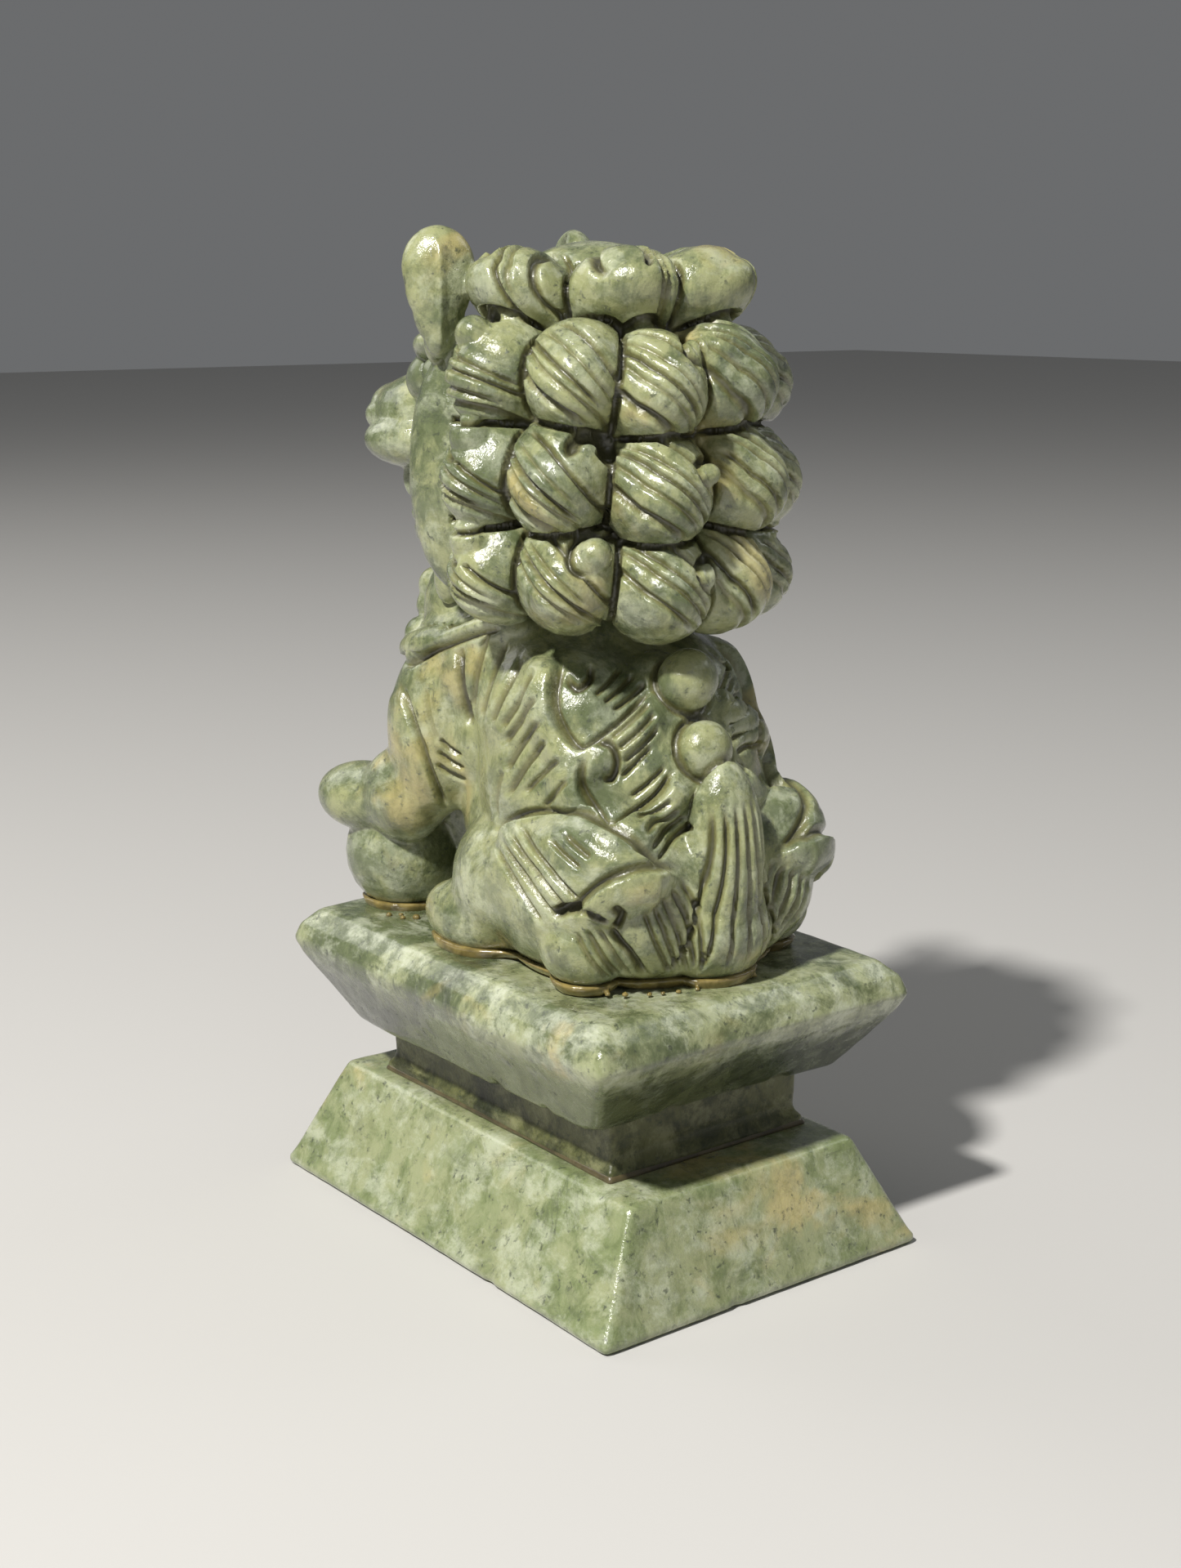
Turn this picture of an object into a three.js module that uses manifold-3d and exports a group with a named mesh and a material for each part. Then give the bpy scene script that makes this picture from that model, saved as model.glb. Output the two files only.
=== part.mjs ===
// A carved guardian lion seated on a three-stone pedestal, with a ball under its left paw.
// Millimetres, +Z up. The origin is the centre of the pedestal's underside; the lion faces -Y,
// so its left side is +X. Each stone is cut on its own and the stones are held together by glue.

import * as THREE from 'three';
import { mergeVertices } from 'three/addons/utils/BufferGeometryUtils.js';
import Module from 'manifold-3d';

const wasm = await Module();
wasm.setup();

// ---- driving dimensions -------------------------------------------------------------------

// Joints between stones: a thin film of glue with a hair of air on either side of it.
const jointGap = 0.3;
const glueThickness = 0.4;
const glueSpread = 1.4; // how far a bead stands out past the stone above it

// Lower slab: a flat-bottomed block with sloping sides.
const footLength = 84;
const footWidth = 59;
const footHeight = 17.3;
const footTopLength = 72.5;
const footTopWidth = 41;
const footRim = 1.8; // upright rim round the underside, below the slope

// Waist block.
const waistLength = 55.5;
const waistWidth = 34.5;
const waistHeight = 7.1;
const waistFlare = 0.9; // how far the block spreads at its bottom edge

// Upper slab: sloping in downwards, with a thick rounded rim.
const slabBottomLength = 60;
const slabBottomWidth = 44.5;
const slabLength = 79.5;
const slabWidth = 57.5;
const slabHeight = 17.4;
const rimHeight = 5.4;
const rimRounding = 3.6;
const stoneCorner = 1.6; // corner radius seen from above

// Lion's body, from its soles to its shoulders.
const bodyWidth = 42;
const bodyLength = 68;
const bodyHeight = 45;

// Head and mane, above the shoulders.
const headTurn = 20; // degrees that the face is turned to the lion's left
const headWidth = 40;
const headHeight = 52;
const neckSink = 1; // how far the skull reaches down past the shoulders
const curlWidth = 16.5;
const curlHeight = 18.6;
const curlDepth = 15.8;
const curlsPerRow = 7;
const topCurls = 5;
const earHeight = 18.4;
const earWidth = 10.2;
const earThickness = 6.6;
const muzzleWidth = 19;
const muzzleLength = 24;
const muzzleHeight = 17;

// Legs, ball and tail.
const legThickness = 14.5;
const pawLength = 17;
const pawWidth = 13;
const pawHeight = 11;
const ballDiameter = 19.4;
const ballSideways = 12.5;
const ballForward = 30.5;
const ballFlat = 0.9; // cut away under the ball so that it sits
const tailWidth = 12;
const tailHeight = 31;
const beadDiameter = 9;
const beadDepth = 7;

// ---- heights of the stack -------------------------------------------------------------------

const glueStep = jointGap * 2 + glueThickness;
const waistBottom = footHeight + glueStep;
const slabBottom = waistBottom + waistHeight + glueStep;
const slabTop = slabBottom + slabHeight;
const lionBottom = slabTop + glueStep;

// ---- materials -----------------------------------------------------------------------------

function stone(colour) {
  return new THREE.MeshStandardMaterial({ color: colour, roughness: 0.22, metalness: 0 });
}
const lionStone = stone(0x8c9a66);
const paleStone = stone(0xa9b488);
const darkStone = stone(0x59664a);
const glue = new THREE.MeshStandardMaterial({ color: 0xa98338, roughness: 0.1, metalness: 0 });

// ---- joining and cutting ---------------------------------------------------------------------

function solidOf(geometry) {
  const bare = geometry.clone();
  bare.deleteAttribute('normal');
  bare.deleteAttribute('uv');
  const merged = mergeVertices(bare, 1e-5);
  return new wasm.Manifold(new wasm.Mesh({
    numProp: 3,
    vertProperties: Float32Array.from(merged.attributes.position.array),
    triVerts: Uint32Array.from(merged.index.array),
  }));
}

function geometryOf(solid) {
  const mesh = solid.getMesh();
  const geometry = new THREE.BufferGeometry();
  geometry.setAttribute('position', new THREE.BufferAttribute(mesh.vertProperties, 3));
  geometry.setIndex(new THREE.BufferAttribute(mesh.triVerts, 1));
  return geometry;
}

const group = new THREE.Group();
function add(name, geometry, material, height = 0) {
  const mesh = new THREE.Mesh(geometry, material);
  mesh.name = name;
  mesh.position.z = height;
  group.add(mesh);
}

// ---- pedestal stones -----------------------------------------------------------------------

// A closed block through a rising list of [length, width, height] sections, length along Y.
function block(sections, corner = stoneCorner) {
  const rings = sections.map(([length, width, height]) => {
    const x = width / 2;
    const y = length / 2;
    const outline = new THREE.Shape();
    outline.moveTo(x, -y + corner);
    outline.lineTo(x, y - corner);
    outline.absarc(x - corner, y - corner, corner, 0, Math.PI / 2);
    outline.absarc(-x + corner, y - corner, corner, Math.PI / 2, Math.PI);
    outline.absarc(-x + corner, -y + corner, corner, Math.PI, Math.PI * 1.5);
    outline.absarc(x - corner, -y + corner, corner, Math.PI * 1.5, Math.PI * 2);
    const points = outline.getPoints(4);
    const distinct = points.filter((p, i) => p.distanceTo(points[(i + 1) % points.length]) > 1e-6);
    return distinct.map((p) => [p.x, p.y, height]);
  });
  const count = rings[0].length;
  const positions = rings.flat(2);
  const faces = [];
  for (let r = 0; r + 1 < rings.length; r += 1) {
    for (let i = 0; i < count; i += 1) {
      const a = r * count + i;
      const b = r * count + (i + 1) % count;
      faces.push(a, b, b + count, a, b + count, a + count);
    }
  }
  const top = (rings.length - 1) * count;
  for (let i = 1; i + 1 < count; i += 1) {
    faces.push(0, i + 1, i);
    faces.push(top, top + i, top + i + 1);
  }
  const geometry = new THREE.BufferGeometry();
  geometry.setAttribute('position', new THREE.Float32BufferAttribute(positions, 3));
  geometry.setIndex(faces);
  return geometry;
}

add('lower_slab', block([
  [footLength, footWidth, 0],
  [footLength, footWidth, footRim],
  [footTopLength, footTopWidth, footHeight],
]), paleStone);

add('waist_block', block([
  [waistLength + 2 * waistFlare, waistWidth + 2 * waistFlare, 0],
  [waistLength, waistWidth, 2 * waistFlare],
  [waistLength, waistWidth, waistHeight],
]), darkStone, waistBottom);

const rimSteps = 4;
const rimSections = [];
for (let i = 0; i <= rimSteps; i += 1) {
  const turn = (i / rimSteps) * Math.PI / 2;
  const inset = 2 * rimRounding * (1 - Math.cos(turn));
  const height = slabHeight - rimHeight + rimHeight * Math.sin(turn);
  rimSections.push([slabLength - inset, slabWidth - inset, height]);
}
add('upper_slab', block([
  [slabBottomLength, slabBottomWidth, 0],
  ...rimSections,
]), paleStone, slabBottom);

// ---- the lion --------------------------------------------------------------------------------

const radians = THREE.MathUtils.degToRad;

// An egg-shaped mass: half sizes, centre, and turn about Z, lean about X and roll about Y in degrees.
function egg(half, centre, [turn, lean, roll] = [0, 0, 0], detail = 10) {
  const geometry = new THREE.SphereGeometry(1, detail, Math.round(detail * 0.75));
  geometry.scale(...half);
  geometry.rotateY(radians(roll));
  geometry.rotateX(radians(lean));
  geometry.rotateZ(radians(turn));
  geometry.translate(...centre);
  return solidOf(geometry);
}

// The same mass on the lion's left and, mirrored, on its right.
function pair(half, [x, y, z], [turn, lean, roll] = [0, 0, 0], detail = 10) {
  return [
    egg(half, [x, y, z], [turn, lean, roll], detail),
    egg(half, [-x, y, z], [-turn, lean, -roll], detail),
  ];
}

// Body masses are shares of the body's half width, half length and height.
function bodyEgg(half, centre, lean = 0) {
  const [w, l, h] = [bodyWidth / 2, bodyLength / 2, bodyHeight];
  return egg(
    [half[0] * w, half[1] * l, half[2] * h],
    [centre[0] * w, centre[1] * l, centre[2] * h],
    [0, lean, 0],
    14,
  );
}
const backHalf = [1.0, 0.62, 0.42];
const backCentre = [0, 0.24, 0.545];
const backLean = -18;
const torso = [
  bodyEgg([0.81, 0.56, 0.25], [0, -0.15, 0.91]), // neck
  bodyEgg([0.52, 0.34, 0.22], [0.15, -0.51, 1.04]), // throat
  bodyEgg([0.86, 0.57, 0.33], [0, -0.41, 0.64]), // chest
  bodyEgg([0.84, 0.5, 0.29], [0, -0.07, 0.38]), // belly
  bodyEgg([0.55, 0.44, 0.28], [0.4, 0.16, 0.75]), // shoulders
  bodyEgg([0.55, 0.44, 0.28], [-0.4, 0.16, 0.75]),
  bodyEgg(backHalf, backCentre, backLean),
  bodyEgg([1.0, 0.59, 0.32], [0, 0.41, 0.27]), // rump
];

const halfWidth = bodyWidth / 2;
const halfLength = bodyLength / 2;

// A point on the spine: turn in degrees up from level behind the middle of the back, and how far
// out it lies as a share of the way to the back's skin.
function onSpine(turn, share) {
  const t = radians(turn);
  const lean = radians(backLean);
  const y = backHalf[1] * halfLength * Math.cos(t) * share;
  const z = backHalf[2] * bodyHeight * Math.sin(t) * share;
  return [
    0,
    backCentre[1] * halfLength + y * Math.cos(lean) - z * Math.sin(lean),
    backCentre[2] * bodyHeight + y * Math.sin(lean) + z * Math.cos(lean),
  ];
}
const haunches = [
  ...pair([10, 0.56 * halfLength, 12.5], [halfWidth - 7, 0.38 * halfLength, 0.255 * bodyHeight], [0, 3, 0], 14),
  ...pair([11, 13, 9], [halfWidth - 8, 0.59 * halfLength, 0.33 * bodyHeight]),
  ...pair([pawWidth * 0.43, pawLength * 0.59, pawHeight / 2], [halfWidth - 3, -0.13 * halfLength, 3.6]),
];

// The left foreleg comes down on the ball, the right one on the slab.
const ballHeight = ballDiameter / 2 - ballFlat;
const ballTop = ballHeight + ballDiameter / 2;
const ball = egg(
  [ballDiameter / 2, ballDiameter / 2, ballDiameter / 2],
  [ballSideways, -ballForward, ballHeight],
  [0, 0, 0],
  14,
);
const legHalf = legThickness / 2;
const forelegs = [
  ...pair([legHalf, 10, 15], [halfWidth - 6.5, -0.56 * halfLength, 0.635 * bodyHeight], [0, -8, 0]),
  egg([legHalf - 0.8, 8, 8], [ballSideways + 4, -ballForward + 5.5, ballTop - 0.5]),
  egg([pawWidth / 2, pawLength / 2, pawHeight / 2], [ballSideways + 5.5, -ballForward - 2.5, ballTop - 1.6], [15, 0, 0]),
  egg([legHalf - 0.5, 7.5, 16], [-ballSideways - 2.5, -ballForward + 4.5, 15]),
  egg([pawWidth / 2, pawLength / 2, pawHeight / 2], [-ballSideways - 2.5, -ballForward - 1.5, 3.9]),
];

// Masses placed about the head's upright axis: azimuth in degrees, 0 towards the lion's front.
const headAxisY = 4;
const headMiddle = bodyHeight + headHeight / 2 + neckSink;
function headPlace(azimuth, radius, height) {
  const a = radians(azimuth);
  return [radius * Math.sin(a), headAxisY - radius * Math.cos(a), headMiddle + height];
}
function aboutHead(azimuth, radius, height, half, lean = 0, detail = 10) {
  return egg(half, headPlace(azimuth, radius, height), [azimuth, lean, 0], detail);
}
function onFace(side, forward, height, half, lean = 0) {
  const azimuth = headTurn + THREE.MathUtils.radToDeg(Math.atan2(side, forward));
  return egg(half, headPlace(azimuth, Math.hypot(side, forward), height), [headTurn, lean, 0]);
}

const maneFirst = headTurn + 72; // azimuth of the curl behind the left ear
const maneStep = 216 / (curlsPerRow - 1);
const curlHalf = [curlWidth / 2, curlDepth / 2, curlHeight / 2];
const maneRows = [
  { height: 10.2, inset: 2, lean: -16 },
  { height: -3.2, inset: 0.7, lean: -12 },
  { height: -16.8, inset: 2, lean: -7 },
];
const mane = maneRows.flatMap(({ height, inset, lean }) => {
  const row = [];
  for (let i = 0; i < curlsPerRow; i += 1) {
    row.push(aboutHead(maneFirst + i * maneStep, headWidth / 2 - inset, height, curlHalf, lean, 8));
  }
  return row;
});
const topStep = 220 / (topCurls - 1);
for (let i = 0; i < topCurls; i += 1) {
  const half = [curlWidth * 0.52, curlDepth * 0.52, curlHeight * 0.34];
  mane.push(aboutHead(maneFirst + 5 + i * topStep, headWidth * 0.29, headHeight * 0.394, half, -36, 8));
}

const skull = [
  aboutHead(0, 0, 0, [headWidth / 2, headWidth / 2, headHeight / 2], 0, 16),
  aboutHead(headTurn, 2, headHeight * 0.423, [headWidth / 4, headWidth * 0.3, headHeight / 8]), // crown
];
const earHalf = [earWidth / 2, earThickness / 2, earHeight / 2];
const earAside = 47; // degrees either side of the face
const earBack = 130; // degrees from the face to where the back of each ear looks
const ears = [1, -1].flatMap((side) => {
  const azimuth = headTurn + side * earAside;
  const place = headPlace(azimuth, headWidth * 0.59, headHeight * 0.41);
  return [
    egg(earHalf, place, [headTurn + side * earBack, -4, 0], 12),
    aboutHead(azimuth, headWidth * 0.46, headHeight * 0.25, [5.5, 7, 8]), // root
  ];
});
const muzzleForward = headWidth * 0.71;
const muzzleTop = 2.5;
const face = [
  onFace(0, 16, -1, [headWidth * 0.4, 10, headHeight * 0.365]),
  onFace(0, muzzleForward, muzzleTop, [muzzleWidth / 2, muzzleLength / 2, muzzleHeight / 2]),
  onFace(0, headWidth / 2, 12, [13, 9, 6]), // brow
  onFace(0, 24, -13, [9, 9, 5.5]), // lower jaw
  onFace(0, muzzleForward + muzzleLength * 0.42, muzzleTop + 4, [5, 3.2, 3.2]), // nose
  ...[1, -1].flatMap((side) => [
    onFace(side * 13.5, 16.5, -4, [6, 7, headHeight * 0.33]), // cheek
    onFace(side * 7.2, 26.5, 9.5, [3.6, 3.4, 3.4]), // eye
  ]),
];
const mouth = onFace(0, muzzleForward + 4, muzzleTop - 9.5, [7.5, muzzleLength / 2, 3.4], -8);

// Tail: an upright tuft against the back with a broad curl on either side, and two beads above it.
const tail = [
  egg([tailWidth / 2, 5, tailHeight / 2], [0, halfLength - 2.5, tailHeight / 2]),
  egg([halfWidth + 0.5, 11.5, 9.5], [0, halfLength - 11.5, 7.7]), // bushy foot of the tail
  ...pair([9, 8, 8.5], [halfWidth - 9, halfLength - 9, 9.7], [-20, 0, 0]),
];
const beadHalf = [beadDiameter / 2, beadDepth / 2, beadDiameter / 2];
const beads = [egg(beadHalf, onSpine(67, 1.1)), egg(beadHalf, onSpine(42, 0.98))];

function joined(solids) {
  return solids.reduce((whole, next) => whole.add(next));
}
const carved = joined([
  ...torso, ...haunches, ball, ...forelegs, ...mane, ...skull, ...ears, ...face, ...tail, ...beads,
]).subtract(mouth);

// Everything below the soles is sawn off flat.
const lionHeight = headMiddle + headHeight;
const sawn = new THREE.BoxGeometry(bodyLength * 2, bodyLength * 2, lionHeight);
sawn.translate(0, 0, lionHeight / 2);
add('lion_figure', geometryOf(carved.intersect(solidOf(sawn))), lionStone, lionBottom);

// ---- glue -----------------------------------------------------------------------------------

function film(length, width) {
  return block([[length, width, 0], [length, width, glueThickness]]);
}
add('foot_glue', film(waistLength - 1, waistWidth - 1), glue, footHeight + jointGap);
add('cap_glue', film(waistLength - 1, waistWidth - 1), glue, waistBottom + waistHeight + jointGap);

// A round-edged pad squeezed out under one foot of the lion.
function pad(x, y, halfX, halfY) {
  const geometry = new THREE.CylinderGeometry(1, 1, glueThickness, 28);
  geometry.rotateX(Math.PI / 2);
  geometry.scale(halfX + glueSpread, halfY + glueSpread, 1);
  geometry.translate(x, y, glueThickness / 2);
  return geometry;
}
const glueHeight = slabTop + jointGap;
const ballFoot = Math.sqrt((ballDiameter / 2) ** 2 - ballHeight ** 2);
add('ball_glue', pad(ballSideways, -ballForward, ballFoot, ballFoot), glue, glueHeight);
add('paw_glue', pad(-ballSideways - 2.5, -ballForward, pawWidth * 0.36, pawLength * 0.4), glue, glueHeight);
const haunchMiddle = 0.26 * halfLength;
add('haunch_glue', pad(0, haunchMiddle, halfWidth - 0.5, halfLength * 0.63), glue, glueHeight);

export default group;
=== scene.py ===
# A guardian lion carved in mottled green stone, glued to a pedestal of three stones.
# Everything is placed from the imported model's boxes; sizes inside a section are in millimetres.
from math import cos, radians, sin, sqrt

import bmesh
import bpy
import numpy as np
from mathutils import Matrix, Vector, noise
from mathutils.bvhtree import BVHTree


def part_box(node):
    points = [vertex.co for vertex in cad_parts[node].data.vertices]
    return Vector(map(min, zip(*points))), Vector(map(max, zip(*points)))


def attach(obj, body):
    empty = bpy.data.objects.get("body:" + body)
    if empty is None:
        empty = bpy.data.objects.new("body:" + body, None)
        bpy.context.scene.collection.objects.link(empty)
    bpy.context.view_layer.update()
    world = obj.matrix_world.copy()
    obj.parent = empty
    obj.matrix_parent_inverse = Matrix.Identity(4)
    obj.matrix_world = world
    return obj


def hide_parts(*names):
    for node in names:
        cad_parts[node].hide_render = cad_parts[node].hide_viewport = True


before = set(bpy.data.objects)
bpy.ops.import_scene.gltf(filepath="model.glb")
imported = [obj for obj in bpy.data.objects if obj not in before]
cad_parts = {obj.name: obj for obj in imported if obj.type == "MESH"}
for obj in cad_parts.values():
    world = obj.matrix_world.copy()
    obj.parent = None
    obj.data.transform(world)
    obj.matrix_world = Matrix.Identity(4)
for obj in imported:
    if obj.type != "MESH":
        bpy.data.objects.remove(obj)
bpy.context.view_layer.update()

# ---- Camera, floor and lights ---------------------------------------------------------------------
# A pale table top in daylight: one strong lamp high on the lion's left, with weaker, larger ones from
# behind the camera, in front of the lion and on its far side, and a dim grey room.
MM = 0.001


def from_side(azimuth, elevation, distance, target=(0, 0, 0)):
    """The point at that distance from the target, azimuth 0 in front of the lion, 90 on its left."""
    a, e = radians(azimuth), radians(elevation)
    return Vector(target) + distance * Vector((sin(a) * cos(e), -cos(a) * cos(e), sin(e)))


def aimed(obj, place, target):
    obj.location = place
    obj.rotation_euler = (Vector(target) - Vector(place)).to_track_quat("-Z", "Y").to_euler()
    bpy.context.scene.collection.objects.link(obj)


look_at = (-0.0003, 0.0002, 0.0666)
lens = bpy.data.cameras.new("camera")
lens.lens = 50
lens.sensor_width = 36
lens.clip_start = 0.01
camera = bpy.data.objects.new("camera", lens)
aimed(camera, from_side(142.35, 13.04, 0.3242, look_at), look_at)
bpy.context.scene.camera = camera


def lamp(name, azimuth, elevation, distance, size, watts, colour=(1, 1, 1)):
    light = bpy.data.lights.new(name, "AREA")
    light.shape = "DISK"
    light.size = size
    light.energy = watts
    light.color = colour
    aimed(bpy.data.objects.new(name, light), from_side(azimuth, elevation, distance, look_at), look_at)


lamp("key", 107, 50, 1.1, 0.08, 19, (1.0, 0.98, 0.95))
lamp("fill", 165, 25, 1.3, 0.8, 0.9, (0.95, 0.98, 1.0))
lamp("front", 20, 35, 1.2, 0.7, 2.0, (1.0, 0.98, 0.95))
lamp("rim", 255, 40, 1.1, 0.5, 0.8, (0.95, 0.98, 1.0))

world = bpy.data.worlds.new("room")
world.use_nodes = True
world.node_tree.nodes["Background"].inputs["Color"].default_value = (0.86, 0.88, 0.9, 1)
world.node_tree.nodes["Background"].inputs["Strength"].default_value = 0.17
bpy.context.scene.world = world
bpy.context.scene.view_settings.view_transform = "Standard"

bm = bmesh.new()
bmesh.ops.create_grid(bm, x_segments=1, y_segments=1, size=3)
floor_mesh = bpy.data.meshes.new("floor")
bm.to_mesh(floor_mesh)
bm.free()
floor = bpy.data.objects.new("floor", floor_mesh)
bpy.context.scene.collection.objects.link(floor)
paint = bpy.data.materials.new("floor")
paint.use_nodes = True
paint.node_tree.nodes["Principled BSDF"].inputs["Base Color"].default_value = (0.52, 0.51, 0.49, 1)
paint.node_tree.nodes["Principled BSDF"].inputs["Roughness"].default_value = 0.75
floor_mesh.materials.append(paint)


# ---- Lower slab -----------------------------------------------------------------------------------
# The foot of the pedestal: one block of pale serpentine, sawn with sloping sides, its edges rounded
# over on a wheel and the whole waxed to a gloss. It stands on its flat underside.
class Socket:
    """A shader value: arithmetic on it adds Math nodes."""

    def __init__(self, tree, link):
        self.tree, self.link = tree, link

    def maths(self, operation, a, b):
        return self.tree.node("Math", {"operation": operation}, [a, b])

    def __add__(self, other):
        return self.maths("ADD", self, other)

    def __sub__(self, other):
        return self.maths("SUBTRACT", self, other)

    def __rsub__(self, other):
        return self.maths("SUBTRACT", other, self)

    def __mul__(self, other):
        return self.maths("MULTIPLY", self, other)

    __radd__ = __add__
    __rmul__ = __mul__


class Finish:
    """A material under construction."""

    def __init__(self, name):
        self.material = bpy.data.materials.new(name)
        self.material.use_nodes = True
        self.nodes = self.material.node_tree.nodes
        self.shader = self.nodes["Principled BSDF"]
        self.place = self.node("TexCoord", {}, [], "Object")

    def node(self, kind, settings, values, output=0):
        node = self.nodes.new("ShaderNode" + kind)
        for name, setting in settings.items():
            setattr(node, name, setting)
        pairs = values.items() if isinstance(values, dict) else enumerate(values)
        for key, value in pairs:
            if isinstance(value, Socket):
                self.material.node_tree.links.new(value.link, node.inputs[key])
            else:
                node.inputs[key].default_value = value
        return Socket(self, node.outputs[output])

    def set(self, **sockets):
        for name, value in sockets.items():
            socket = self.shader.inputs[name.replace("_", " ")]
            if isinstance(value, Socket):
                self.material.node_tree.links.new(value.link, socket)
            else:
                socket.default_value = value

    def noise(self, scale, detail=4.0, roughness=0.55, distortion=0.0, vector=None):
        sockets = {"Scale": scale, "Detail": detail, "Roughness": roughness, "Distortion": distortion}
        sockets["Vector"] = vector or self.place
        return self.node("TexNoise", {}, sockets)

    def step(self, value, low, high):
        settings = {"interpolation_type": "SMOOTHSTEP"}
        return self.node("MapRange", settings, {"Value": value, "From Min": low, "From Max": high})

    def mix(self, factor, a, b, blend="MIX"):
        settings = {"data_type": "RGBA", "blend_type": blend}
        return self.node("Mix", settings, {0: factor, 6: a, 7: b}, 2)

    def mapped(self, place, turn, scale):
        values = {"Vector": self.place, "Location": place, "Rotation": turn, "Scale": scale}
        return self.node("Mapping", {}, values)

    def bump(self, height, strength, distance):
        return self.node("Bump", {}, {"Strength": strength, "Distance": distance, "Height": height})


def serpentine(name, base, cloud, deep, ochre, black, cloudiness, darkness, cut=False, seed=(0, 0, 0),
               painted_shade_below=None, gloss=1.0):
    """Waxed serpentine: green ground, milky clouds, ochre stains, dark veins and fine black specks, with
    painted shade below a height where one is given.
    """
    f = Finish(name)
    grain = f.mapped(seed, (0.4, 0.5, 0.2), (1, 1, 0.72))
    drift = f.noise(58, 6, 0.65, 0.7, grain)
    mottled = f.noise(260, 7, 0.72, 0.5, grain)
    ground = f.mix(f.step(drift + mottled * 0.35, 0.6, 0.76), base, deep)
    milky = f.noise(170, 8, 0.7, 0.25, f.mapped(seed, (0.2, 1.2, 0.1), (1, 0.7, 1)))
    ground = f.mix(f.step(milky, 0.46, 0.62) * cloudiness, ground, cloud)
    smoke = f.noise(150, 8, 0.76, 0.5, f.mapped(seed, (1.2, 0.2, 0.6), (1, 0.75, 1)))
    ground = f.mix(f.step(smoke, 0.5, 0.62) * darkness, ground, deep)
    stain = f.noise(42, 4, 0.55, 0.4, f.mapped(seed, (1.1, 0.3, 0.7), (1, 1, 1)))
    ground = f.mix(f.step(stain, 0.56, 0.66) * 0.75, ground, ochre)
    shade = f.noise(62, 7, 0.7, 1.2, f.mapped(seed, (0.5, 0.9, 1.3), (1, 1, 1.2)))
    ground = f.mix(f.step(shade, 0.53, 0.68) * darkness, ground, black)
    ground = f.mix(f.step(mottled, 0.44, 0.64) * 0.7, ground, (0.62, 0.65, 0.55, 1), "MULTIPLY")
    vein = f.noise(52, 6, 0.6, 1.1, f.mapped(seed, (0.9, 0.1, 0.5), (1, 1, 1)))
    line = f.node("Math", {"operation": "ABSOLUTE"}, [vein - 0.5])
    hair = (1 - f.step(line, 0.0, 0.02)) * f.step(drift, 0.5, 0.62)
    ground = f.mix(hair * 0.35, ground, (0.06, 0.07, 0.045, 1))
    speck = f.step(f.noise(820, 4, 0.7, 0.3), 0.57, 0.67) * f.step(mottled, 0.36, 0.54)
    ground = f.mix(speck * 0.75, ground, (0.04, 0.05, 0.03, 1))
    # Painted shade: the stone is darkened below these heights, standing in for the shade on a
    # downward-facing underside.
    if painted_shade_below:
        height = f.node("SeparateXYZ", {}, [f.place], "Z")
        ground = f.mix(1 - f.step(height + milky * 0.004, *painted_shade_below), ground, (0.3, 0.32, 0.27, 1), "MULTIPLY")
    polish = 0.13 + mottled * 0.14 + speck * 0.2 + (1 - gloss) * 0.25
    if cut:
        # The cuts darken: the olive tint is the wax left in shallow cuts, and the near-black in the deepest
        # hollows and creases is painted shade.
        hollow = f.node("Attribute", {"attribute_name": "hollow"}, {}, "Fac")
        ground = f.mix(f.step(hollow, 0.18, 0.62) * 0.65, ground, (0.13, 0.12, 0.035, 1))
        ground = f.mix(f.step(hollow, 0.55, 1.0) * 0.8, ground, (0.028, 0.026, 0.012, 1))
        polish = polish + hollow * 0.2
    f.set(Base_Color=ground, Roughness=polish)
    f.set(Normal=f.bump(f.noise(480, 5, 0.72, 0.0), 0.38, 0.0006))
    f.set(IOR=1.56, Coat_Roughness=0.045, Coat_Weight=0.5 * gloss * gloss, Specular_IOR_Level=0.5 * gloss)
    f.set(Subsurface_Weight=0.1, Subsurface_Radius=(0.55, 0.75, 0.35), Subsurface_Scale=0.0015)
    return f.material


pale_stone = serpentine(
    "pale_stone", (0.3, 0.325, 0.175, 1), (0.47, 0.5, 0.37, 1), (0.2, 0.24, 0.11, 1), (0.5, 0.42, 0.19, 1),
    (0.11, 0.13, 0.08, 1), 0.65, 0.5, seed=(0.3, 0.1, 0.0),
)


def points_of(mesh):
    points = np.empty(len(mesh.vertices) * 3)
    mesh.vertices.foreach_get("co", points)
    return points.reshape(-1, 3)


def normals_of(mesh):
    normals = np.empty(len(mesh.vertices) * 3)
    mesh.vertex_normals.foreach_get("vector", normals)
    return normals.reshape(-1, 3)


def put(mesh, points):
    mesh.vertices.foreach_set("co", points.ravel())
    mesh.update()


def averaged(mesh, values):
    """Each vertex's value averaged over its neighbours."""
    edges = np.empty(len(mesh.edges) * 2, np.int32)
    mesh.edges.foreach_get("vertices", edges)
    a, b = edges[::2], edges[1::2]
    count = np.bincount(edges, minlength=len(values))
    columns = []
    for column in np.atleast_2d(values.T):
        total = np.bincount(a, column[b], len(values)) + np.bincount(b, column[a], len(values))
        columns.append(total / np.maximum(count, 1))
    return np.array(columns).T.reshape(values.shape)


def eased(mesh, rounds):
    """Rounds off corners and shrinks the mesh little: each round eases it in, then part way out."""
    points = points_of(mesh)
    for _ in range(rounds):
        points = points + 0.6 * (averaged(mesh, points) - points)
        points = points - 0.29 * (averaged(mesh, points) - points)
    put(mesh, points)
    return mesh


def applied(holder):
    """The object's mesh with its modifiers applied; the object itself is taken away."""
    bpy.context.view_layer.update()
    graph = bpy.context.evaluated_depsgraph_get()
    mesh = bpy.data.meshes.new_from_object(holder.evaluated_get(graph))
    old = holder.data
    bpy.data.objects.remove(holder)
    bpy.data.meshes.remove(old)
    return mesh


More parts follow.
